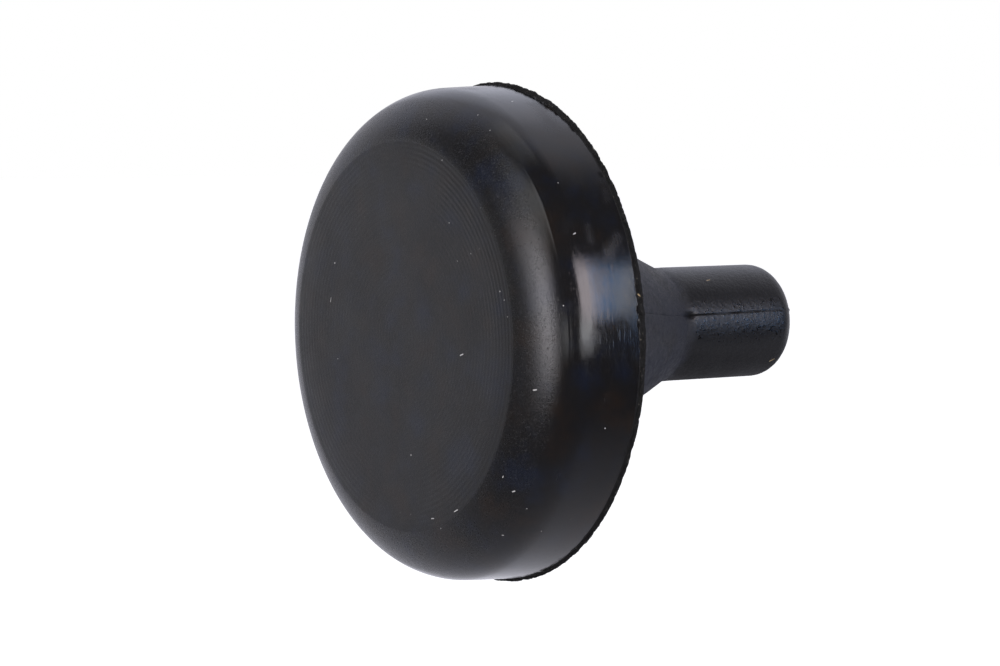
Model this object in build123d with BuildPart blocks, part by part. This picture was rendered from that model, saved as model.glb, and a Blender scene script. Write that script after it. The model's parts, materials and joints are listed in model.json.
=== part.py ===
"""Clutch pedal bumper, moulded in one piece of black rubber.

A thick round head takes the pedal on its flat strike face. A tapered neck behind the head runs down
to a straight stem, which is pressed into a hole in the pedal bracket until the neck seats there.

The axis of the part lies along Y: the strike face looks along -Y and the stem points along +Y. The
origin is on the axis where the straight stem begins, in the plane of the bracket's front.
"""

import os
from math import radians, tan

from build123d import *

# Head: a flat strike face, an arc shoulder and a drafted wall
head_diameter = 32.0  # across the back edge of the wall
head_thickness = 7.3  # from the strike face to the back face
face_diameter = 25.0  # across the flat of the strike face
shoulder_radius = 3.95  # section of the shoulder
wall_length = 3.5  # from the back face to the shoulder
wall_draft = 0.1  # by which the wall narrows towards the shoulder, on each side

# Marks of the mould on the head: a line where two plates met, and a fin of flash on the back edge
witness_share = 0.67  # place of the line along the shoulder, from the strike face
witness_height = 0.06
bead_sides = 4
fin_width = 0.3
fin_thickness = 0.27

# Neck: a cone from the back of the head to the stem
neck_length = 13.3  # from the back face to the start of the straight stem
neck_half_angle = 25.0  # degrees
neck_root_radius = 1.5
neck_blend_radius = 2.0

# Stem: a straight plug with a rounded tip
stem_diameter = 7.7
stem_length = 9.35
tip_radius = 1.5

# Places along the axis
back_y = -neck_length
face_y = back_y - head_thickness
shoulder_end_y = back_y - wall_length
fin_front_y = back_y - fin_thickness
neck_corner_y = -neck_blend_radius * tan(radians(neck_half_angle / 2))

# Radii
head_radius = head_diameter / 2
stem_radius = stem_diameter / 2
neck_base_radius = stem_radius + (neck_corner_y - back_y) * tan(radians(neck_half_angle))

with BuildPart() as bumper:
    with BuildSketch(Plane.XY):
        with BuildLine():
            strike_face = Line((0, face_y), (face_diameter / 2, face_y))
            shoulder = RadiusArc(strike_face @ 1, (head_radius - wall_draft, shoulder_end_y), -shoulder_radius)
            wall_and_fin = Polyline(
                shoulder @ 1,
                (head_radius, fin_front_y),
                (head_radius + fin_width, fin_front_y),
                (head_radius + fin_width, back_y),
            )
            neck_and_stem = FilletPolyline(
                wall_and_fin @ 1,
                (neck_base_radius, back_y),
                (stem_radius, neck_corner_y),
                (stem_radius, stem_length),
                (0, stem_length),
                radius=[neck_root_radius, neck_blend_radius, tip_radius],
            )
            Line(neck_and_stem @ 1, strike_face @ 0)
        make_face()
    revolve(axis=Axis.Y)

    # The witness line is a hair-fine bead round the shoulder
    with BuildSketch(Plane.XY):
        with Locations(shoulder @ witness_share):
            RegularPolygon(witness_height, bead_sides)
    revolve(axis=Axis.Y)

bumper.part.label = "bumper"

os.makedirs("parts", exist_ok=True)
export_step(bumper.part, "parts/bumper.step")
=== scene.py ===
"""Studio scene of a clutch pedal bumper: one piece of moulded black rubber.

The part's axis lies along Y, with the strike face towards -Y and the stem towards +Y. Lengths are in
metres, written as millimetres times MM. A turn is an angle about the axis, from +X upwards.
"""

from __future__ import annotations

import json
import logging
import math
from dataclasses import dataclass
from enum import Enum
from typing import Union

import bmesh
import bpy
from mathutils import Matrix, Vector, noise

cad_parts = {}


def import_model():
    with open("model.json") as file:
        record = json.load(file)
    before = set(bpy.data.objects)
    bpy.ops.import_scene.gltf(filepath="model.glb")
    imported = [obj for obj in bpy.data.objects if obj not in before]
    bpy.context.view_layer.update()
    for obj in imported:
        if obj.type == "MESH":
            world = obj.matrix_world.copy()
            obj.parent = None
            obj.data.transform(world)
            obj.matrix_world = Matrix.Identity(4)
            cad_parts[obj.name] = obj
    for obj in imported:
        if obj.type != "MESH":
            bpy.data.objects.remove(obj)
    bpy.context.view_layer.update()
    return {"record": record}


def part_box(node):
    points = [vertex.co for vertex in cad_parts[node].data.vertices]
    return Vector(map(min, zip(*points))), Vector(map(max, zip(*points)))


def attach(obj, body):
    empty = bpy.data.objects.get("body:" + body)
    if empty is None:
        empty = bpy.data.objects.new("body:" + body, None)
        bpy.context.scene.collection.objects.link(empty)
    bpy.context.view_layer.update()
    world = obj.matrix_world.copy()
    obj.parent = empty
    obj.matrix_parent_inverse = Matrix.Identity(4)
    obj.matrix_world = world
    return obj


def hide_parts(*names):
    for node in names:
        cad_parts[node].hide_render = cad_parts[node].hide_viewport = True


LOG = logging.getLogger("bumper")
MM = 0.001
AXIS = Vector((0.0, 1.0, 0.0))
UP = Vector((0.0, 0.0, 1.0))
FINE_SEED = Vector((7.0, 3.0, 1.0))
RAGGED_SEED = Vector((2.0, 9.0, 4.0))

Colour = tuple[float, float, float, float]
Span = tuple[float, float]
Feed = Union["Value", bpy.types.NodeSocket, float, tuple]

WHITE: Colour = (1.0, 1.0, 1.0, 1.0)


@dataclass(frozen=True)
class Grain:
    """Noise, by the width of its largest grains, the number of its finer layers and their strength."""

    size: float
    detail: float = 2.0
    harsh: float = 0.5


class Value:
    """A number on a node's socket. Python's operators on it add Math nodes."""

    def __init__(self, sheet: NodeSheet, socket: bpy.types.NodeSocket) -> None:
        """Wraps an output socket of a node on the sheet."""
        self.sheet = sheet
        self.socket = socket

    def __add__(self, other: Feed) -> Value:
        """Sum."""
        return self.sheet.math("ADD", self, other)

    __radd__ = __add__

    def __sub__(self, other: Feed) -> Value:
        """Difference."""
        return self.sheet.math("SUBTRACT", self, other)

    def __rsub__(self, other: Feed) -> Value:
        """Difference from a number on the left."""
        return self.sheet.math("SUBTRACT", other, self)

    def __mul__(self, other: Feed) -> Value:
        """Product."""
        return self.sheet.math("MULTIPLY", self, other)

    __rmul__ = __mul__

    def __pow__(self, other: Feed) -> Value:
        """Power."""
        return self.sheet.math("POWER", self, other)

    def sine(self) -> Value:
        """Sine of the value, in radians."""
        return self.sheet.math("SINE", self)

    def clamp(self, low: float, high: float) -> Value:
        """The value, held between low and high."""
        return self.sheet.math("MINIMUM", self.sheet.math("MAXIMUM", self, low), high)

    def rise(self, low: float, high: float) -> Value:
        """Smooth step from 0 at low to 1 at high.

        Args:
            low: where the step starts.
            high: where it ends. A high below low gives a falling step.

        Returns:
            The step, from 0 to 1.
        """
        start, end = min(low, high), max(low, high)
        node = self.sheet.node(
            "ShaderNodeMapRange",
            {"interpolation_type": "SMOOTHSTEP"},
            {"Value": self, "From Min": start, "From Max": end},
        )
        step = self.sheet.value(node, "Result")
        return step if low < high else 1.0 - step


class NodeSheet:
    """A node tree with one method that adds any node."""

    def __init__(self, tree: bpy.types.NodeTree) -> None:
        """Takes a tree and empties it."""
        self.tree = tree
        tree.nodes.clear()

    def node(self, kind: str, settings: dict | None = None, inputs: dict | None = None) -> bpy.types.Node:
        """Adds a node, sets it up and feeds its sockets.

        Args:
            kind: the node's type name.
            settings: attributes, which are set first.
            inputs: numbers, colours, sockets or values by socket name or index.

        Returns:
            The new node.
        """
        made = self.tree.nodes.new(kind)
        for name, value in (settings or {}).items():
            setattr(made, name, value)
        for key, feed in (inputs or {}).items():
            if isinstance(feed, Value):
                self.tree.links.new(feed.socket, made.inputs[key])
            elif isinstance(feed, bpy.types.NodeSocket):
                self.tree.links.new(feed, made.inputs[key])
            else:
                made.inputs[key].default_value = feed
        return made

    def math(self, operation: str, *feeds: Feed) -> Value:
        """Adds a Math node on the feeds and wraps its result."""
        made = self.node("ShaderNodeMath", {"operation": operation}, dict(enumerate(feeds)))
        return self.value(made)

    def vector_math(self, operation: str, *feeds: Feed) -> bpy.types.Node:
        """Adds a Vector Math node on the feeds."""
        return self.node("ShaderNodeVectorMath", {"operation": operation}, dict(enumerate(feeds)))

    def measure(self, operation: str, *feeds: Feed) -> Value:
        """Adds a Vector Math node on the feeds and wraps the number that it gives."""
        return self.value(self.vector_math(operation, *feeds), "Value")

    def value(self, node: bpy.types.Node, output: str | int = 0) -> Value:
        """Wraps one output of a node."""
        return Value(self, node.outputs[output])

    def mix(self, factor: Feed, first: Feed, second: Feed) -> bpy.types.NodeSocket:
        """Colour between first and second, by a factor from 0 to 1."""
        made = self.node("ShaderNodeMix", {"data_type": "RGBA"}, {0: factor, 6: first, 7: second})
        return made.outputs[2]

    def combine(self, x: Feed, y: Feed, z: Feed) -> bpy.types.NodeSocket:
        """Vector of three numbers."""
        return self.node("ShaderNodeCombineXYZ", None, {0: x, 1: y, 2: z}).outputs[0]

    def grain(self, vector: Feed, grain: Grain) -> Value:
        """Noise of the given grain at a point, from 0 to 1."""
        made = self.node(
            "ShaderNodeTexNoise",
            None,
            {"Vector": vector, "Scale": 1 / grain.size, "Detail": grain.detail, "Roughness": grain.harsh},
        )
        return self.value(made)

    def cells(self, vector: Feed, size: float) -> bpy.types.Node:
        """Voronoi cells of a given width, with the distance to each cell's middle and a colour for it."""
        return self.node("ShaderNodeTexVoronoi", {"feature": "F1"}, {"Vector": vector, "Scale": 1 / size})


class Outline:
    """A half section drawn in the XY plane: X is the radius and Y the place on the axis."""

    def __init__(self, bm: bmesh.types.BMesh, radius: float, y: float) -> None:
        """Starts the outline at a point."""
        self.bm = bm
        self.last = bmesh.ops.create_vert(bm, co=(radius, y, 0.0))["vert"][0]

    def line_to(self, radius: float, y: float, steps: int = 1) -> bmesh.types.BMVert:
        """Draws a straight stretch.

        Args:
            radius: the stretch's end radius.
            y: the stretch's end on the axis.
            steps: edges along the stretch.

        Returns:
            The end point.
        """
        start, end = self.last.co.copy(), Vector((radius, y, 0.0))
        for step in range(1, steps + 1):
            self.last = bmesh.ops.extrude_vert_indiv(self.bm, verts=[self.last])["verts"][0]
            self.last.co = start.lerp(end, step / steps)
        return self.last

    def arc_to(self, radius: float, y: float, bend: float, steps: int) -> bmesh.types.BMVert:
        """Draws an arc that bulges away from the axis.

        Args:
            radius: the arc's end radius.
            y: the arc's end on the axis.
            bend: the arc's own radius.
            steps: edges along the arc.

        Returns:
            The end point.
        """
        start, end = self.last.co.copy(), Vector((radius, y, 0.0))
        centre = self.arc_centre(start, end, bend)
        turn = 2 * math.asin((end - start).length / 2 / bend)
        made = bmesh.ops.spin(self.bm, geom=[self.last], cent=centre, axis=UP, angle=turn, steps=steps)
        self.last = next(item for item in made["geom_last"] if isinstance(item, bmesh.types.BMVert))
        return self.last

    @staticmethod
    def arc_centre(start: Vector, end: Vector, bend: float) -> Vector:
        """Middle of an arc that bulges away from the axis.

        Args:
            start: the arc's first point.
            end: its last point.
            bend: its radius.

        Returns:
            The middle.
        """
        chord = end - start
        side = Vector((-chord.y, chord.x, 0.0)).normalized()
        return (start + end) / 2 + side * math.sqrt(bend**2 - chord.length_squared / 4)

    def round_corner(self, corner: bmesh.types.BMVert, bend: float, steps: int) -> None:
        """Rounds a corner between two straight stretches.

        Args:
            corner: the corner point.
            bend: radius of the round.
            steps: edges along the round.
        """
        ways = [(edge.other_vert(corner).co - corner.co).normalized() for edge in corner.link_edges]
        bmesh.ops.bevel(
            self.bm,
            geom=[corner],
            offset=bend / math.tan(ways[0].angle(ways[1]) / 2),
            offset_type="OFFSET",
            affect="VERTICES",
            segments=steps,
            profile=0.5,
            material=-1,
        )


class Lint(Enum):
    """What a speck is, with its colour."""

    DUST = (0.46, 0.455, 0.44, 1.0)
    STRAW = (0.36, 0.27, 0.15, 1.0)


@dataclass(frozen=True)
class Speck:
    """A grain, fibre or smear on the rubber, in millimetres and degrees.

    It lies at a turn about the axis. On the strike face and the front of the shoulder its radius is given,
    and further back its depth behind the strike face. The other of the two follows from the outline.
    """

    turn: float
    radius: float = 0.0
    depth: float = 0.0
    across: float = 0.0
    along: float = 0.0
    width: float = 0.09
    lint: Lint = Lint.DUST


@dataclass(frozen=True)
class RubberFinish:
    """Black moulded rubber, with a different surface in each zone of the mould."""

    ior: float = 1.5

    # Colour
    black: Colour = (0.0088, 0.0085, 0.0088, 1.0)
    bloom: Colour = (0.0082, 0.0104, 0.0178, 1.0)
    warm: Colour = (0.0135, 0.0100, 0.0080, 1.0)
    # The neck's blue bloom, also used as painted light on the neck's underside: a lighter, bluer colour
    # standing in for the light it catches from below.
    neck_bloom_and_painted_underside_light: Colour = (0.0195, 0.0215, 0.0312, 1.0)
    stem_black: Colour = (0.0055, 0.0054, 0.0062, 1.0)
    torn_black: Colour = (0.003, 0.003, 0.003, 1.0)
    torn_fleck: Colour = (0.09, 0.08, 0.065, 1.0)
    cloud: Grain = Grain(3.0 * MM, 4.0, 0.6)
    bloom_span: Span = (0.48, 0.75)
    warm_span: Span = (0.5, 0.28)
    neck_bloom_span: Span = (0.28, 0.60)
    neck_bloom_share: float = 0.68
    # Share of that painted light on the neck's underside.
    underside_painted_light_share: float = 0.45
    torn_fleck_grain: Grain = Grain(0.14 * MM, 2.0, 0.6)
    torn_fleck_span: Span = (0.63, 0.74)

    # Edges of the zones
    zone_edge: float = 0.05 * MM
    polish_edge: Span = (-0.7 * MM, 0.1 * MM)
    underside_edge: Span = (-0.3 * MM, -2.6 * MM)
    stem_edge: Span = (-0.7 * MM, 0.6 * MM)
    stem_waver: float = 2.4 * MM
    stem_waver_grain: Grain = Grain(1.6 * MM, 3.0, 0.6)

    # Roughness
    face_roughness: float = 0.42
    shoulder_roughness: float = 0.26
    wall_roughness: float = 0.10
    streak_roughness: float = 0.19
    smear_roughness: float = 0.30
    fin_roughness: float = 0.95
    neck_roughness: float = 0.52
    stem_roughness: float = 0.37
    underside_roughness: float = 0.85
    gloss_streak: Grain = Grain(0.13 * MM, 3.0, 0.6)
    gloss_streak_span: Span = (0.46, 0.80)
    smear_grain: Grain = Grain(1.9 * MM, 3.0, 0.55)
    smear_span: Span = (0.5, 0.85)
    pebble_span: Span = (0.58, 0.66)
    pebble_gloss_share: float = 0.85
    flank_low: Span = (-2.0 * MM, -0.5 * MM)
    flank_high: Span = (2.2 * MM, 1.0 * MM)
    mottle: Grain = Grain(0.42 * MM, 3.0, 0.65)
    mottle_share: float = 0.9
    haze: Grain = Grain(3.8 * MM, 4.0, 0.6)
    haze_share: float = 0.5
    fleck: Grain = Grain(0.13 * MM, 2.0, 0.7)
    fleck_share: float = 0.6
    wall_fleck_loss: float = 0.6

    # Relief
    ring_pitch: float = 0.342 * MM
    ring_height: float = 0.0042 * MM
    ring_wobble: Grain = Grain(2.4 * MM, 2.0, 0.5)
    ring_wobble_span: Span = (0.2, 0.55)
    ring_wobble_phase: float = 1.6
    ring_clear_turn: float = math.radians(50.0)
    ring_side_span: Span = (6.0 * MM, 11.5 * MM)
    ring_radius_span: Span = (7.0 * MM, 11.5 * MM)
    ring_share: float = 0.4
    ring_clear_share: float = 0.9
    ring_far_share: float = 0.2
    ring_inner_share: float = 0.45
    streak: Grain = Grain(0.4 * MM, 3.0, 0.6)
    streak_height: float = 0.002 * MM
    streak_draw: float = 1.1 * MM
    scratch: Grain = Grain(0.10 * MM, 3.0, 0.6)
    scratch_span: Span = (0.58, 0.72)
    scratch_height: float = 0.0016 * MM
    drawn_line: Grain = Grain(0.03 * MM, 1.0)
    drawn_squeeze: float = 0.10
    drawn_height: float = 0.0024 * MM
    pinhole: Grain = Grain(0.11 * MM, 1.0)
    pinhole_span: Span = (0.60, 0.72)
    pinhole_depth: float = 0.0065 * MM
    wall_pinhole_loss: float = 0.90
    pebble: Grain = Grain(0.29 * MM, 2.0, 0.6)
    peel_height: float = 0.030 * MM
    torn: Grain = Grain(0.2 * MM, 3.0, 0.7)
    torn_height: float = 0.12 * MM
    skin: Grain = Grain(0.075 * MM, 2.0, 0.7)
    skin_height: float = 0.012 * MM
    face_skin_gain: float = 0.4
    wall_skin_loss: float = 0.95
    neck_skin_gain: float = 5.0
    stem_skin_loss: float = 4.0

    # Dust, smears and fibres
    sprinkle_size: float = 1.3 * MM
    sprinkle_cover: float = 0.3
    sprinkle_span: Span = (0.045, 0.02)
    sprinkle_tone_span: Span = (0.70, 1.0)
    speck_core_share: float = 0.6
    specks: tuple[Speck, ...] = (
        Speck(-6, radius=7.0, across=0.13, along=0.29),
        Speck(-81, radius=7.6, width=0.12),
        Speck(-59, radius=12.3, across=0.40, along=0.06, width=0.08),
        Speck(-72, radius=11.9, across=0.25, along=0.05, width=0.07),
        Speck(17, radius=11.65, width=0.11),
        Speck(14, radius=11.95),
        Speck(9, radius=12.1, width=0.08),
        Speck(53, radius=9.3),
        Speck(67, radius=12.3),
        Speck(35, radius=9.75, width=0.08),
        Speck(38, radius=8.25, width=0.07),
        Speck(151, radius=9.1, across=0.05, along=0.08, width=0.08),
        Speck(167, radius=8.7, across=0.28, along=0.02, width=0.06),
        Speck(194, radius=7.85),
        Speck(-69, radius=12.7, width=0.08),
        Speck(-36, radius=13.6, across=0.12, width=0.06),
        Speck(-10, radius=14.15, across=0.06, along=0.20),
        Speck(81, radius=14.05),
        Speck(-38, radius=14.45, across=0.14, along=0.10),
        Speck(-52, depth=1.5, across=0.05, along=0.05, width=0.07),
        Speck(60, depth=1.7, width=0.08),
        Speck(-41, depth=1.75, width=0.08),
        Speck(10, depth=1.9),
        Speck(67, depth=1.9),
        Speck(26, depth=3.35, across=0.06, along=0.14),
        Speck(-47, depth=3.35, width=0.07),
        Speck(39, depth=3.5, width=0.08),
        Speck(70, depth=4.9, across=0.05, along=0.14, width=0.08),
        Speck(-18, depth=5.0, width=0.11),
        Speck(11, radius=16.2, depth=7.08, across=-0.30, along=0.26, width=0.11, lint=Lint.STRAW),
        Speck(52, depth=23.2, across=0.06, along=0.30, width=0.08, lint=Lint.STRAW),
        Speck(-42, depth=28.4, across=0.20, along=0.34, width=0.08, lint=Lint.STRAW),
    )
    smears: tuple[Speck, ...] = (
        Speck(23, depth=5.9, across=1.0, along=0.9, width=1.5),
        Speck(35, depth=6.6, across=0.5, along=0.1, width=1.3),
        Speck(26, depth=4.4, across=0.9, along=0.1, width=1.1),
        Speck(62, depth=5.9, across=3.0, along=0.4, width=2.6),
    )


@dataclass
class Zones:
    """Masks from 0 to 1 for the zones of the mould, on one node sheet."""

    face: Value
    polished: Value
    fin: Value
    neck: Value
    underside: Value
    stem: Value


@dataclass
class Bumper:
    """The moulded rubber piece: head, flash fin, neck and stem in one mesh."""

    lowest: Vector
    highest: Vector
    stem_radius: float
    finish: RubberFinish = RubberFinish()
    head_radius: float = 16.0 * MM
    head_thickness: float = 7.3 * MM
    face_radius: float = 12.5 * MM
    shoulder_bend: float = 3.95 * MM
    wall_length: float = 3.5 * MM
    wall_draft: float = 0.1 * MM
    wall_turn: float = math.radians(86.0)
    witness_turn: float = math.radians(61.7)
    witness_width: float = 0.05 * MM
    witness_height: float = 0.011 * MM
    witness_middle: float = math.radians(20.0)
    witness_spread: float = math.radians(26.0)
    fin_thickness: float = 0.27 * MM
    fin_tear: float = 0.115 * MM
    fin_ragged: float = 0.16 * MM
    fin_thin_share: float = 0.35
    fin_spots: tuple[tuple[float, float, float], ...] = (
        # Middle and spread in degrees, and gain
        (8.0, 14.0, 0.65),
        (70.0, 14.0, 0.65),
        (180.0, 60.0, 0.4),
    )
    fin_edge_share: float = 0.7
    fin_root_share: float = 0.2
    fin_back_share: float = 0.1
    tear_sizes: Span = (1.0 * MM, 0.29 * MM)
    ragged_size: float = 0.35 * MM
    wall_flare: float = 0.12 * MM
    wall_flare_length: float = 2.4 * MM
    neck_angle: float = math.radians(25.0)
    neck_bend: float = 2.0 * MM
    neck_root_bend: float = 1.5 * MM
    neck_row_shares: Span = (0.25, 0.85)
    neck_sag: float = 0.1 * MM
    neck_sag_end: float = 1.0 * MM
    neck_sag_power: float = 2.2
    tip_bend: float = 1.5 * MM
    seam_turn: float = math.radians(12.5)
    seam_drift: float = math.radians(2.5)
    seam_width: float = 0.045 * MM
    seam_depth: float = 0.055 * MM
    seam_reach: float = 1.28 * MM
    seam_inner_share: float = 0.6
    seam_wander_size: float = 0.7 * MM
    seam_wander_share: float = 0.75
    seam_wander_gain: float = 0.5
    pit_y: float = -0.1 * MM
    pit_length: float = 0.384 * MM
    pit_width: float = 0.24 * MM
    pit_depth: float = 0.22 * MM
    pit_rows_end: float = 0.8 * MM
    nub_height: float = 0.07 * MM
    nub_width: float = 0.25 * MM
    nub_radius_share: float = 0.85
    nub_start_share: float = 0.9
    sharp_angle: float = math.radians(40.0)
    merge_gap: float = 0.001 * MM
    turns: int = 720
    face_steps: int = 6
    shoulder_steps: int = 22
    lane_steps: int = 12
    wall_steps: int = 8
    fin_steps: int = 3
    rim_steps: int = 2
    neck_steps: int = 10
    pit_steps: int = 6
    stem_steps: int = 16
    round_steps: int = 8

    @property
    def face_y(self) -> float:
        """Place of the strike face on the axis."""
        return self.lowest.y

    @property
    def back_y(self) -> float:
        """Place of the head's back face on the axis."""
        return self.face_y + self.head_thickness

    @property
    def tip_y(self) -> float:
        """Place of the stem's end on the axis."""
        return self.highest.y

    @property
    def fin_radius(self) -> float:
        """Outer radius of the flash fin."""
        return self.highest.z

    @property
    def shoulder_centre(self) -> Vector:
        """Middle of the shoulder's arc, which runs from the edge of the strike face to the wall.

        Returns:
            The middle, in the plane of the half section.
        """
        start = Vector((self.face_radius, self.face_y, 0.0))
        end = Vector((self.head_radius - self.wall_draft, self.back_y - self.wall_length, 0.0))
        return Outline.arc_centre(start, end, self.shoulder_bend)

    @property
    def wall_start(self) -> Vector:
        """Outline point where the wall leaves the shoulder."""
        return self.shoulder_point(self.wall_turn)

    @property
    def wall_end(self) -> Vector:
        """Outline point where the wall meets the flash fin."""
        return Vector((self.head_radius, self.back_y - self.fin_thickness, 0.0))

    @property
    def wall_bend(self) -> float:
        """Radius of the wall's slight bulge, with which it leaves the shoulder smoothly."""
        chord = self.wall_end - self.wall_start
        return chord.length / 2 / math.sin(math.atan2(chord.y, chord.x) - self.wall_turn)

    def shoulder_point(self, turn: float, lift: float = 0.0) -> Vector:
        """Outline point of the shoulder, by the surface's turn from the strike face and a lift off it."""
        way = Vector((math.sin(turn), -math.cos(turn), 0.0))
        return self.shoulder_centre + way * (self.shoulder_bend + lift)

    def build(self) -> bpy.types.Object:
        """Models and dresses the piece.

        Returns:
            The finished object, riding on the part's one body.
        """
        bm = bmesh.new()
        self._draw_section(bm)
        bmesh.ops.spin(
            bm,
            geom=bm.verts[:] + bm.edges[:],
            cent=(0.0, 0.0, 0.0),
            axis=AXIS,
            angle=2 * math.pi,
            steps=self.turns,
            use_merge=True,
        )
        bmesh.ops.remove_doubles(bm, verts=bm.verts[:], dist=self.merge_gap)
        bmesh.ops.recalc_face_normals(bm, faces=bm.faces[:])
        bm.normal_update()
        self._fade_witness(bm)
        self._tear_fin(bm)
        self._press_seam(bm)
        self._sag_neck(bm)
        mesh = bpy.data.meshes.new("moulded_rubber")
        bm.to_mesh(mesh)
        bm.free()
        mesh.shade_smooth()
        mesh.set_sharp_from_angle(angle=self.sharp_angle)
        mesh.materials.append(RubberSurface(self).material)
        piece = bpy.data.objects.new("moulded_rubber", mesh)
        bpy.context.scene.collection.objects.link(piece)
        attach(piece, "root")
        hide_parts("bumper")
        return piece

    def _draw_section(self, bm: bmesh.types.BMesh) -> None:
        """Draws the half section from the middle of the strike face to the middle of the stem's end.

        Args:
            bm: the empty mesh.
        """
        outline = Outline(bm, 0.0, self.face_y)
        outline.line_to(self.face_radius, self.face_y, self.face_steps)
        half_bead = self.witness_width / self.shoulder_bend
        before = self.shoulder_point(self.witness_turn - half_bead)
        crest = self.shoulder_point(self.witness_turn, self.witness_height)
        after = self.shoulder_point(self.witness_turn + half_bead)
        outline.arc_to(before.x, before.y, self.shoulder_bend, self.shoulder_steps)
        outline.line_to(crest.x, crest.y)
        outline.line_to(after.x, after.y)
        outline.arc_to(self.wall_start.x, self.wall_start.y, self.shoulder_bend, self.lane_steps)
        outline.arc_to(self.wall_end.x, self.wall_end.y, self.wall_bend, self.wall_steps)
        edge_y = self.back_y - self.fin_edge_share * self.fin_thickness
        outline.line_to(self.fin_radius, edge_y, self.fin_steps)
        outline.line_to(self.fin_radius, self.back_y, self.rim_steps)
        outline.line_to(self.head_radius - self.fin_thickness, self.back_y)
        corner_y = -self.neck_bend * math.tan(self.neck_angle / 2)
        base_radius = self.stem_radius + (corner_y - self.back_y) * math.tan(self.neck_angle)
        neck_start, neck_end = Vector((base_radius, self.back_y)), Vector((self.stem_radius, corner_y))
        root = outline.line_to(*neck_start)
        for share, steps in zip(self.neck_row_shares, (1, self.neck_steps)):
            outline.line_to(*neck_start.lerp(neck_end, share), steps)
        foot = outline.line_to(*neck_end)
        outline.line_to(self.stem_radius, self.pit_rows_end, self.pit_steps)
        outline.line_to(self.stem_radius, self.tip_y - 2 * self.tip_bend, self.stem_steps)
        tip = outline.line_to(self.stem_radius, self.tip_y)
        outline.line_to(0.0, self.tip_y)
        for corner, bend in ((root, self.neck_root_bend), (foot, self.neck_bend), (tip, self.tip_bend)):
            outline.round_corner(corner, bend, self.round_steps)

    def settle(self, speck: Speck) -> tuple[Vector, float]:
        """Finds where a speck lies on the outline.

        Args:
            speck: the speck, which gives its radius, its depth or both.

        Returns:
            The point in the plane of the half section, and the surface's lean from the strike face there.
        """
        radius, y = speck.radius * MM, self.face_y + speck.depth * MM
        centre, bend = self.shoulder_centre, self.shoulder_bend
        if speck.radius and speck.depth:
            return Vector((radius, y, 0.0)), 0.0
        if speck.radius:
            if radius <= self.face_radius:
                return Vector((radius, self.face_y, 0.0)), 0.0
            lean = math.asin((radius - centre.x) / bend)
            return self.shoulder_point(lean), lean
        if y < self.wall_start.y:
            lean = math.acos((centre.y - y) / bend)
            return self.shoulder_point(lean), lean
        if y > 0.0:
            return Vector((self.stem_radius, y, 0.0)), math.pi / 2
        middle = Outline.arc_centre(self.wall_start, self.wall_end, self.wall_bend)
        return Vector((middle.x + math.sqrt(self.wall_bend**2 - (y - middle.y) ** 2), y, 0.0)), math.pi / 2

    def fin_share(self, turn: float) -> float:
        """Size of the flash fin at a turn, as a share of its full size.

        Args:
            turn: the angle about the axis, in radians.

        Returns:
            The share, from fin_thin_share to 1.
        """
        share = self.fin_thin_share
        for middle, spread, gain in self.fin_spots:
            off = math.remainder(turn - math.radians(middle), 2 * math.pi) / math.radians(spread)
            share += gain * math.exp(-off * off)
        return min(share, 1.0)

    def _fade_witness(self, bm: bmesh.types.BMesh) -> None:
        """Lowers the witness line's bead away from the side where the mould's plates gaped most.

        Args:
            bm: the piece's mesh.
        """
        centre = self.shoulder_centre
        for vert in bm.verts:
            out = Vector((math.hypot(vert.co.x, vert.co.z), vert.co.y, 0.0)) - centre
            lift = out.length - self.shoulder_bend
            if not 0.5 * self.witness_height < lift < 2 * self.witness_height or vert.co.y > centre.y:
                continue
            off = (math.atan2(vert.co.z, vert.co.x) - self.witness_middle) / self.witness_spread
            vert.co -= vert.normal * lift * (1.0 - math.exp(-off * off))

    def _tear_fin(self, bm: bmesh.types.BMesh) -> None:
        """Makes the flash fin thin in places and ragged, as it tore when the part left the mould.

        Args:
            bm: the piece's mesh.
        """
        reach = self.fin_radius - self.head_radius
        fin_y = self.wall_end.y
        rim_y = self.back_y - self.fin_back_share * self.fin_thickness
        coarse_size, fine_size = self.tear_sizes
        for vert in bm.verts:
            radius = math.hypot(vert.co.x, vert.co.z)
            along = (vert.co.y - fin_y) / self.wall_flare_length + 1.0
            if radius <= self.face_radius or along <= 0.0:
                continue
            thinned = 1.0 - self.fin_share(math.atan2(vert.co.z, vert.co.x))
            share = (radius - self.head_radius) / reach
            grown = radius
            if share > self.fin_root_share:
                coarse = noise.noise(vert.co / coarse_size)
                fine = noise.noise(vert.co / fine_size + FINE_SEED)
                grown -= share * self.fin_tear * (abs(coarse) + abs(fine))
            if vert.co.y < rim_y:
                flare = self.wall_flare * thinned * min(along, 1.0) ** 2
                grown += flare * (1.0 - min(max(share, 0.0), 1.0))
                if vert.co.y > fin_y - self.merge_gap:
                    ragged = noise.noise(vert.co / self.ragged_size + RAGGED_SEED)
                    torn_y = vert.co.y + (self.back_y - vert.co.y) * thinned - self.fin_ragged * ragged
                    vert.co.y = min(torn_y, rim_y)
            vert.co.x *= grown / radius
            vert.co.z *= grown / radius

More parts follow.
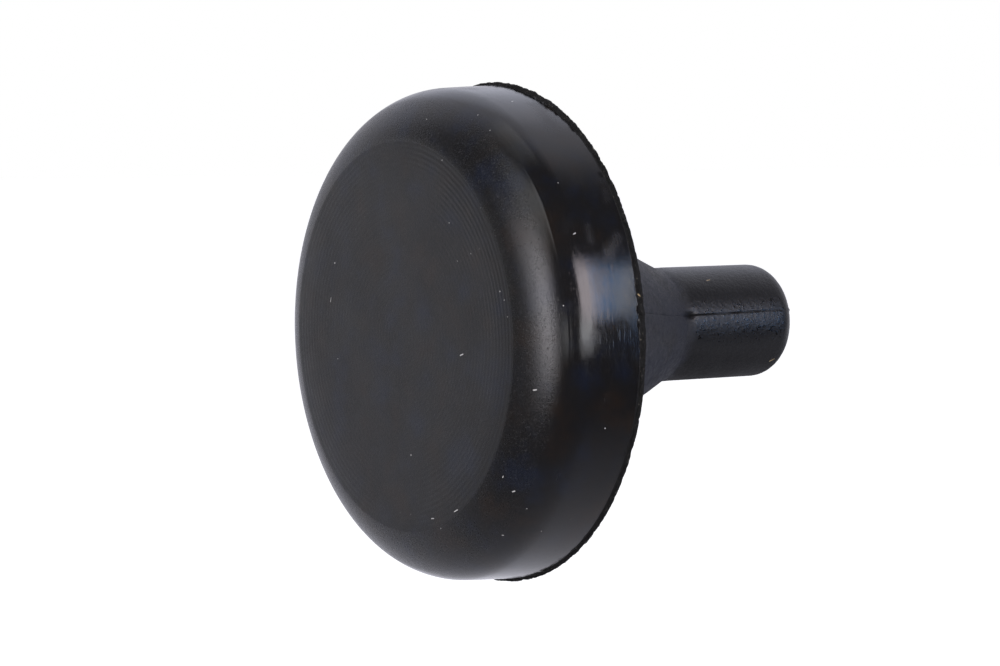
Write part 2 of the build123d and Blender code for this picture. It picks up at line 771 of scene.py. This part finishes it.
    def _press_seam(self, bm: bmesh.types.BMesh) -> None:
        """Presses the mould's seam into both sides of the neck and stem, with its pit and nub.

        Args:
            bm: the piece's mesh.
        """
        for vert in bm.verts:
            radius = math.hypot(vert.co.x, vert.co.z)
            y = vert.co.y
            if y < self.back_y + self.neck_root_bend or radius < self.seam_inner_share * self.stem_radius:
                continue
            share = min(max(y / self.tip_y, 0.0), 1.0)
            turn = self.seam_turn + self.seam_drift * share * share
            off = abs(radius * math.sin(math.atan2(vert.co.z, vert.co.x) - turn))
            if off > self.seam_reach:
                continue
            wander = noise.noise(Vector((0.0, y / self.seam_wander_size, 0.0)))
            groove = self.seam_depth * math.exp(-((off / self.seam_width) ** 2))
            groove *= self.seam_wander_share + self.seam_wander_gain * wander
            if y > self.tip_y - self.nub_start_share * self.tip_bend:
                inwards = (radius - self.nub_radius_share * self.stem_radius) / self.nub_width
                groove = -self.nub_height * math.exp(-((off / (2 * self.seam_width)) ** 2) - inwards**2)
            near_pit = ((y - self.pit_y) / self.pit_length) ** 2 + (off / self.pit_width) ** 2
            groove += self.pit_depth * math.exp(-near_pit)
            vert.co -= vert.normal * groove

    def _sag_neck(self, bm: bmesh.types.BMesh) -> None:
        """Lowers the middle of the neck a little, as the two halves of the mould didn't quite meet.

        Args:
            bm: the piece's mesh.
        """
        for vert in bm.verts:
            share = (vert.co.y - self.back_y) / (self.neck_sag_end - self.back_y)
            if self.neck_root_bend < vert.co.y - self.back_y and share < 1.0:
                vert.co.z -= self.neck_sag * math.sin(math.pi * share**self.neck_sag_power) ** 2


class RubberSurface:
    """The rubber's material: its colour, roughness and relief, zone by zone."""

    def __init__(self, bumper: Bumper) -> None:
        """Makes the material.

        Args:
            bumper: the piece that wears it.
        """
        self.bumper = bumper
        self.finish = bumper.finish
        self.material = bpy.data.materials.new("moulded_black_rubber")
        self.material.use_nodes = True
        self.sheet = NodeSheet(self.material.node_tree)
        self.place = self.sheet.node("ShaderNodeTexCoord").outputs["Object"]
        split = self.sheet.node("ShaderNodeSeparateXYZ", None, {0: self.place})
        self.x, self.y, self.z = (self.sheet.value(split, axis) for axis in range(3))
        self.radius = (self.x * self.x + self.z * self.z) ** 0.5
        self.turn = self.sheet.math("ARCTAN2", self.z, self.x)
        self.zones = self._zones()
        relief = self.sheet.node("ShaderNodeBump", None, {"Distance": 1.0, "Height": self._relief()})
        shader = self.sheet.node(
            "ShaderNodeBsdfPrincipled",
            None,
            {
                "Base Color": self._colour(),
                "Roughness": self._roughness(),
                "IOR": self.finish.ior,
                "Normal": relief.outputs[0],
            },
        )
        self.sheet.node("ShaderNodeOutputMaterial", None, {"Surface": shader.outputs[0]})

    def _zones(self) -> Zones:
        """Makes the masks of the zones.

        Returns:
            The masks: strike face, polished wall, fin, neck, its underside and stem.
        """
        bumper, finish, soft = self.bumper, self.finish, self.finish.zone_edge
        witness_y = bumper.shoulder_point(bumper.witness_turn).y
        polish_start, polish_end = finish.polish_edge
        fin_y = bumper.wall_end.y
        behind = self.y.rise(bumper.back_y - soft, bumper.back_y)
        on_head = self.radius.rise(bumper.head_radius - soft, bumper.head_radius)
        neck = behind * (1.0 - on_head)
        waver = (self.sheet.grain(self.place, finish.stem_waver_grain) - 0.5) * finish.stem_waver
        return Zones(
            face=self.radius.rise(bumper.face_radius + soft, bumper.face_radius - soft)
            * self.y.rise(bumper.face_y + 2 * soft, bumper.face_y + soft),
            polished=self.y.rise(witness_y + polish_start, witness_y + polish_end),
            fin=self.y.rise(fin_y - soft, fin_y) * on_head,
            neck=neck,
            underside=self.z.rise(*finish.underside_edge) * neck,
            stem=(self.y + waver).rise(*finish.stem_edge),
        )

    def _roughness(self) -> Value:
        """Roughness of each zone, with a light cloud over it.

        Returns:
            The roughness.
        """
        finish, zones = self.finish, self.zones
        result: Feed = finish.shoulder_roughness
        for mask, roughness in (
            (zones.face, finish.face_roughness),
            (zones.polished, finish.wall_roughness),
            (zones.fin, finish.fin_roughness),
            (zones.neck, finish.neck_roughness),
            (zones.stem, finish.stem_roughness),
        ):
            result = result * (1.0 - mask) + mask * roughness
        wall = zones.polished * (1.0 - zones.neck) * (1.0 - zones.fin)
        streak = self._streaks(finish.gloss_streak).rise(*finish.gloss_streak_span)
        result = result + streak * wall * (finish.streak_roughness - finish.wall_roughness)
        smear = self.sheet.grain(self.place, finish.smear_grain).rise(*finish.smear_span)
        for patch in finish.smears:
            smear = self.sheet.math("MAXIMUM", smear, self._cover(patch, 0.0))
        result = result + smear * wall * (finish.smear_roughness - finish.wall_roughness)
        result = result * (1.0 - zones.underside) + zones.underside * finish.underside_roughness
        flank = self.z.rise(*finish.flank_low) * self.z.rise(*finish.flank_high)
        pebbles = self.sheet.grain(self.place, finish.pebble).rise(*finish.pebble_span)
        result = result * (1.0 - finish.pebble_gloss_share * pebbles * zones.stem * flank)
        mottle = self.sheet.grain(self.place, finish.mottle) - 0.5
        result = result * (1.0 + finish.mottle_share * mottle * zones.neck * (1.0 - zones.stem))
        haze = self.sheet.grain(self.place, finish.haze) - 0.5
        fleck = (self.sheet.grain(self.place, finish.fleck) - 0.5) * (1.0 - finish.wall_fleck_loss * wall)
        return result * (1.0 + finish.haze_share * haze) * (1.0 + finish.fleck_share * fleck)

    def _streaks(self, grain: Grain) -> Value:
        """Noise drawn out round the axis into streaks as wide as the grain, from 0 to 1."""
        drawn = self.sheet.combine(self.y, self.turn * self.finish.streak_draw, 0.0)
        return self.sheet.grain(drawn, grain)

    def _drawn_lines(self) -> Value:
        """Noise of the hair-fine lines that drawing the head from its mould left, from 0 to 1."""
        along, around = self.y * self.finish.drawn_squeeze, self.turn * self.bumper.head_radius
        return self.sheet.grain(self.sheet.combine(along, around, 0.0), self.finish.drawn_line)

    def _colour(self) -> bpy.types.NodeSocket:
        """Black with a faint blue bloom, painted light on the neck's underside, and dust on top.

        Returns:
            The colour.
        """
        finish, sheet = self.finish, self.sheet
        cloud = sheet.grain(self.place, finish.cloud)
        colour = sheet.mix(cloud.rise(*finish.bloom_span), finish.black, finish.bloom)
        colour = sheet.mix(cloud.rise(*finish.warm_span), colour, finish.warm)
        bloom_and_underside_light = finish.neck_bloom_share * self.zones.neck * cloud.rise(*finish.neck_bloom_span)
        # Painted light: the neck's underside is made lighter and bluer, standing in for the light it
        # catches from below.
        bloom_and_underside_light = bloom_and_underside_light + finish.underside_painted_light_share * self.zones.underside
        colour = sheet.mix(bloom_and_underside_light, colour, finish.neck_bloom_and_painted_underside_light)
        colour = sheet.mix(self.zones.stem, colour, finish.stem_black)
        flecks = sheet.grain(self.place, finish.torn_fleck_grain).rise(*finish.torn_fleck_span)
        torn = sheet.mix(flecks, finish.torn_black, finish.torn_fleck)
        colour = sheet.mix(self.zones.fin, colour, torn)
        for lint in Lint:
            colour = sheet.mix(self._dust(lint), colour, lint.value)
        return colour

    def _dust(self, lint: Lint) -> Value:
        """Specks of one kind where they lie on the part. Dust also has a sprinkle of fainter dots.

        Args:
            lint: the kind.

        Returns:
            The specks' cover, from 0 to 1.
        """
        finish, sheet = self.finish, self.sheet
        front = sheet.combine(self.x, 0.0, self.z)
        cells = sheet.cells(front, finish.sprinkle_size)
        tone = sheet.value(sheet.node("ShaderNodeSeparateColor", None, {0: cells.outputs["Color"]}))
        dots = sheet.value(cells, "Distance").rise(*finish.sprinkle_span)
        cover = dots * tone.rise(*finish.sprinkle_tone_span)
        cover = cover * (finish.sprinkle_cover if lint is Lint.DUST else 0.0)
        for speck in finish.specks:
            if speck.lint is lint:
                cover = sheet.math("MAXIMUM", cover, self._cover(speck, finish.speck_core_share))
        return cover

    def _cover(self, speck: Speck, core_share: float) -> Value:
        """Cover of one speck, which is round or, if it has a length, a short fibre.

        Args:
            speck: the speck.
            core_share: share of its width that is fully covered. The cover fades from there to its edge.

        Returns:
            1 on the speck and 0 off it.
        """
        sheet = self.sheet
        turn = math.radians(speck.turn)
        out = Vector((math.cos(turn), 0.0, math.sin(turn)))
        point, lean = self.bumper.settle(speck)
        middle = out * point.x + AXIS * point.y
        half = speck.width * MM / 2
        if speck.across or speck.along:
            round_way = out.cross(AXIS)
            outline_way = out * math.cos(lean) + AXIS * math.sin(lean)
            fibre = (round_way * speck.across + outline_way * speck.along) * MM
            offset = sheet.vector_math("SUBTRACT", self.place, tuple(middle)).outputs[0]
            share = sheet.measure("DOT_PRODUCT", offset, tuple(fibre / fibre.length_squared))
            reach = sheet.node(
                "ShaderNodeVectorMath",
                {"operation": "SCALE"},
                {0: tuple(fibre), "Scale": share.clamp(-0.5, 0.5)},
            )
            gap = sheet.measure("DISTANCE", offset, reach.outputs[0])
        else:
            gap = sheet.measure("DISTANCE", self.place, tuple(middle))
        return gap.rise(half, core_share * half)

    def _relief(self) -> Value:
        """Height of the surface's fine relief: lathe rings, streaks, orange peel, torn grain and skin.

        Returns:
            The height in metres.
        """
        finish, sheet, zones = self.finish, self.sheet, self.zones
        wobble = sheet.grain(self.place, finish.ring_wobble)
        phase = self.radius * (2 * math.pi / finish.ring_pitch) + wobble * finish.ring_wobble_phase
        rings = phase.sine() * zones.face * self._ring_share() * wobble.rise(*finish.ring_wobble_span)
        wall = zones.polished * (1.0 - zones.neck)
        streaks = (self._streaks(finish.streak) - 0.5) * wall
        scratches = self._streaks(finish.scratch).rise(*finish.scratch_span) * wall
        drawn = (self._drawn_lines() - 0.5) * wall
        pinholes = sheet.grain(self.place, finish.pinhole).rise(*finish.pinhole_span) * (1.0 - zones.face)
        pinholes = pinholes * (1.0 - finish.wall_pinhole_loss * zones.polished) * (1.0 - zones.neck)
        peel = (sheet.grain(self.place, finish.pebble) - 0.5) * zones.stem
        torn = (sheet.grain(self.place, finish.torn) - 0.5) * zones.fin
        coat = 1.0 + finish.face_skin_gain * zones.face - finish.wall_skin_loss * zones.polished
        coat = coat + finish.neck_skin_gain * zones.neck - finish.stem_skin_loss * zones.stem
        skin = (sheet.grain(self.place, finish.skin) - 0.5) * coat
        return (
            rings * finish.ring_height
            + streaks * finish.streak_height
            + scratches * finish.scratch_height
            + drawn * finish.drawn_height
            - pinholes * finish.pinhole_depth
            + peel * finish.peel_height
            + torn * finish.torn_height
            + skin * finish.skin_height
        )

    def _ring_share(self) -> Value:
        """Strength of the lathe rings, which are clearest near the rim on one side of the face.

        Returns:
            The strength, as a share.
        """
        finish = self.finish
        side = self.x * math.cos(finish.ring_clear_turn) + self.z * math.sin(finish.ring_clear_turn)
        clear = finish.ring_clear_share * side.rise(*finish.ring_side_span)
        far = finish.ring_far_share * (0.0 - side).rise(*finish.ring_side_span)
        near_rim = self.radius.rise(*finish.ring_radius_span)
        inner = finish.ring_inner_share
        return (finish.ring_share + clear + far) * (inner + (1.0 - inner) * near_rim)


class Ray(Enum):
    """Kinds of ray that meet the floor and the surround."""

    CAMERA = "Is Camera Ray"
    GLOSSY = "Is Glossy Ray"


def direction(azimuth: float, elevation: float) -> Vector:
    """Unit vector from the object.

    Args:
        azimuth: angle from -Y towards +X, in degrees.
        elevation: angle above the horizon, in degrees.

    Returns:
        The direction.
    """
    around, up = math.radians(azimuth), math.radians(elevation)
    return Vector((math.sin(around) * math.cos(up), -math.cos(around) * math.cos(up), math.sin(up)))


class Hang(Enum):
    """How a lamp's side edges lie: upright, or square to the part's axis so that they follow its wall."""

    UPRIGHT = "upright"
    SQUARE = "square"


@dataclass(frozen=True)
class SoftBox:
    """A rectangular lamp that faces the object. Its angles are in degrees, as seen from there."""

    name: str
    azimuth: Span
    elevation: Span
    level: float
    distance: float
    tint: tuple[float, float, float] = (1.0, 1.0, 1.0)
    hang: Hang = Hang.UPRIGHT

    def build(self, target: Vector) -> bpy.types.Object:
        """Makes the lamp.

        Args:
            target: the point that the lamp faces.

        Returns:
            The lamp's object.
        """
        lamp = bpy.data.lights.new(self.name, "AREA")
        lamp.shape = "RECTANGLE"
        lamp.size = 2 * self.distance * math.tan(math.radians(self.azimuth[1] - self.azimuth[0]) / 2)
        lamp.size_y = 2 * self.distance * math.tan(math.radians(self.elevation[1] - self.elevation[0]) / 2)
        lamp.energy = self.level * math.pi * lamp.size * lamp.size_y
        lamp.color = self.tint
        way = direction(sum(self.azimuth) / 2, sum(self.elevation) / 2)
        box = bpy.data.objects.new(self.name, lamp)
        box.location = target + way * self.distance
        upwards = way.cross(AXIS) if self.hang is Hang.SQUARE else UP - way * way.z
        upwards.normalize()
        box.rotation_mode = "QUATERNION"
        box.rotation_quaternion = Matrix((upwards.cross(way), upwards, way)).transposed().to_quaternion()
        bpy.context.scene.collection.objects.link(box)
        return box


@dataclass(frozen=True)
class Studio:
    """Pale floor, white surround and soft boxes."""

    floor_drop: float = 60.0 * MM
    floor_size: float = 4.0
    floor_colour: Colour = (0.82, 0.82, 0.82, 1.0)
    floor_shade: Colour = (0.7954, 0.7954, 0.7954, 1.0)
    floor_grain: Grain = Grain(33.0 * MM)
    floor_glow: float = 0.80
    floor_level: float = 0.93
    floor_dark: float = -165.0 * MM
    floor_white: float = 95.0 * MM
    floor_spread: float = 0.46
    surround_azimuth: float = 237.0
    surround_elevation: float = 13.0
    surround_start: float = 0.16
    surround_full: float = 0.58
    surround_front_dark: float = -0.58
    surround_front_white: float = -0.30
    surround_level: float = 0.73
    surround_tint: Colour = (0.93, 0.93, 1.04, 1.0)
    window_tint: Colour = (1.21, 1.24, 1.44, 1.0)
    window_azimuth: float = 232.0
    window_elevation: float = 36.0
    window_edge: float = 0.90
    window_full: float = 0.97
    room_level: float = 0.04
    boxes: tuple[SoftBox, ...] = (
        SoftBox("front_box", (27.0, 45.0), (-14.0, 33.5), 5.9, 0.25, (1.0, 0.965, 1.02), Hang.SQUARE),
        SoftBox("front_soft_box", (8.0, 27.0), (-14.0, 33.5), 2.3, 0.25, (0.99, 0.97, 1.04), Hang.SQUARE),
        SoftBox("front_card", (-20.0, 8.0), (-24.0, 33.5), 0.28, 0.25, (0.97, 0.97, 1.06)),
        SoftBox("front_top_box", (14.0, 48.0), (36.0, 66.0), 1.3, 0.6),
        SoftBox("top_card", (-104.0, -76.0), (74.0, 98.0), 0.40, 0.9, hang=Hang.SQUARE),
        SoftBox("left_card", (-75.0, -27.0), (-6.0, 13.0), 0.32, 0.35),
        SoftBox("lane_card", (57.0, 75.0), (-5.0, 8.0), 1.35, 0.9),
        SoftBox("side_box_warm", (97.0, 120.4), (8.0, 31.0), 5.9, 0.9, (1.0, 0.905, 0.95), Hang.SQUARE),
        SoftBox("side_box_low", (92.0, 116.0), (-3.5, 8.0), 4.6, 0.9, (0.95, 0.96, 1.0), Hang.SQUARE),
        SoftBox("side_box_cool", (120.4, 124.3), (8.0, 27.5), 3.8, 0.9, (0.12, 0.44, 1.0), Hang.SQUARE),
        SoftBox("side_box_grey", (124.3, 125.6), (8.0, 26.0), 1.6, 0.9, (0.70, 0.83, 1.0), Hang.SQUARE),
        SoftBox("side_box_white", (125.6, 127.6), (8.0, 24.5), 5.2, 0.9, (0.98, 0.97, 1.0), Hang.SQUARE),
        SoftBox("side_box_blue", (127.6, 129.4), (5.0, 24.0), 1.2, 0.9, (0.50, 0.70, 1.0), Hang.SQUARE),
        SoftBox("stem_box", (129.4, 138.0), (-3.0, 11.0), 5.4, 0.9, (0.28, 0.52, 1.0), Hang.SQUARE),
    )

    def build(self, lowest: Vector, head_middle: Vector) -> None:
        """Sets the studio up round the object.

        Args:
            lowest: the object's lowest corner.
            head_middle: the point that the lamps face.
        """
        self._floor(lowest.z - self.floor_drop)
        self._surround()
        for box in self.boxes:
            box.build(head_middle)
            LOG.info("lamp %s", box.name)

    def _floor(self, height: float) -> None:
        """Lays the pale floor, which keeps shadows and is otherwise white to the camera.

        Args:
            height: the floor's place on Z.
        """
        bm = bmesh.new()
        bmesh.ops.create_grid(bm, x_segments=1, y_segments=1, size=self.floor_size)
        bmesh.ops.translate(bm, verts=bm.verts[:], vec=(0.0, 0.0, height))
        mesh = bpy.data.meshes.new("floor")
        bm.to_mesh(mesh)
        bm.free()
        mesh.materials.append(self._paper())
        floor = bpy.data.objects.new("floor", mesh)
        bpy.context.scene.collection.objects.link(floor)

    def _paper(self) -> bpy.types.Material:
        """Makes the floor's paper.

        Returns:
            The material.
        """
        material = bpy.data.materials.new("pale_paper")
        material.use_nodes = True
        material.cycles.emission_sampling = "NONE"
        sheet = NodeSheet(material.node_tree)
        place = sheet.node("ShaderNodeTexCoord").outputs["Object"]
        mottle = sheet.mix(sheet.grain(place, self.floor_grain), self.floor_colour, self.floor_shade)
        paper = sheet.node("ShaderNodeBsdfDiffuse", None, {"Color": mottle})
        path = sheet.node("ShaderNodeLightPath")
        seen = sheet.value(path, Ray.CAMERA.value)
        glow = sheet.node("ShaderNodeEmission", None, {"Strength": seen * self.floor_glow})
        lit = sheet.node("ShaderNodeAddShader", None, {0: paper.outputs[0], 1: glow.outputs[0]})
        back = tuple(direction(self.surround_azimuth, 0.0))
        depth = sheet.measure("DOT_PRODUCT", place, back)
        spread = sheet.measure("LENGTH", place) * self.floor_spread
        level = (depth - spread).rise(self.floor_dark, self.floor_white) * self.floor_level
        mirrored = sheet.node("ShaderNodeEmission", None, {"Color": self.surround_tint, "Strength": level})
        surface = sheet.node(
            "ShaderNodeMixShader",
            None,
            {0: sheet.value(path, Ray.GLOSSY.value), 1: lit.outputs[0], 2: mirrored.outputs[0]},
        )
        sheet.node("ShaderNodeOutputMaterial", None, {"Surface": surface.outputs[0]})
        return material

    def _surround(self) -> None:
        """Makes the world: white to the camera, and a white surround behind the object for other rays."""
        world = bpy.data.worlds.new("white_surround")
        bpy.context.scene.world = world
        world.use_nodes = True
        sheet = NodeSheet(world.node_tree)
        way = sheet.node("ShaderNodeTexCoord").outputs["Generated"]
        aim = tuple(direction(self.surround_azimuth, self.surround_elevation))
        white = sheet.measure("DOT_PRODUCT", way, aim).rise(self.surround_start, self.surround_full)
        depth = sheet.measure("DOT_PRODUCT", way, tuple(AXIS))
        white = white * depth.rise(self.surround_front_dark, self.surround_front_white)
        level = self.room_level + white * (self.surround_level - self.room_level)
        seen = sheet.value(sheet.node("ShaderNodeLightPath"), Ray.CAMERA.value)
        window_aim = tuple(direction(self.window_azimuth, self.window_elevation))
        window = sheet.measure("DOT_PRODUCT", way, window_aim).rise(self.window_edge, self.window_full)
        tint = sheet.mix(window, self.surround_tint, self.window_tint)
        light = sheet.node(
            "ShaderNodeBackground",
            None,
            {
                "Color": sheet.mix(seen, tint, WHITE),
                "Strength": level * (1.0 - seen) + seen,
            },
        )
        sheet.node("ShaderNodeOutputWorld", None, {"Surface": light.outputs[0]})


@dataclass(frozen=True)
class PhotoView:
    """The camera at the photograph's viewing angle."""

    azimuth: float = 55.24
    elevation: float = 3.936
    distance: float = 204.2 * MM
    lens_mm: float = 112.635
    sensor_mm: float = 36.0
    aim_right: float = -0.36 * MM
    aim_up: float = 0.054 * MM
    nearest: float = 10.0 * MM
    farthest: float = 50.0

    def build(self, aim: Vector) -> bpy.types.Object:
        """Makes the camera.

        Args:
            aim: the middle of the head's back face. It lies aim_right and aim_up off the picture's middle.

        Returns:
            The camera's object.
        """
        lens = bpy.data.cameras.new("photo_camera")
        lens.lens = self.lens_mm
        lens.sensor_width = self.sensor_mm
        lens.sensor_fit = "HORIZONTAL"
        lens.clip_start = self.nearest
        lens.clip_end = self.farthest
        back = direction(self.azimuth, self.elevation)
        turn = (-back).to_track_quat("-Z", "Y")
        camera = bpy.data.objects.new("photo_camera", lens)
        camera.rotation_mode = "QUATERNION"
        camera.rotation_quaternion = turn
        camera.location = aim - turn @ Vector((self.aim_right, self.aim_up, 0.0)) + back * self.distance
        bpy.context.scene.collection.objects.link(camera)
        bpy.context.scene.camera = camera
        return camera


def main() -> None:
    """Builds the bumper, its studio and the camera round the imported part."""
    logging.basicConfig(level=logging.INFO)
    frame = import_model()
    lowest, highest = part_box("bumper")
    mounts = {mount["name"]: mount for mount in frame["record"]["mounts"]}
    bumper = Bumper(lowest, highest, mounts["stem"]["dims"]["r_mm"] * MM)
    piece = bumper.build()
    LOG.info("%s: %d faces", piece.name, len(piece.data.polygons))
    Studio().build(lowest, Vector((0.0, (bumper.face_y + bumper.back_y) / 2, 0.0)))
    PhotoView().build(Vector((0.0, bumper.back_y, 0.0)))
    bpy.context.scene.view_settings.view_transform = "Standard"
    bpy.context.view_layer.update()


if __name__ == "__main__":
    main()
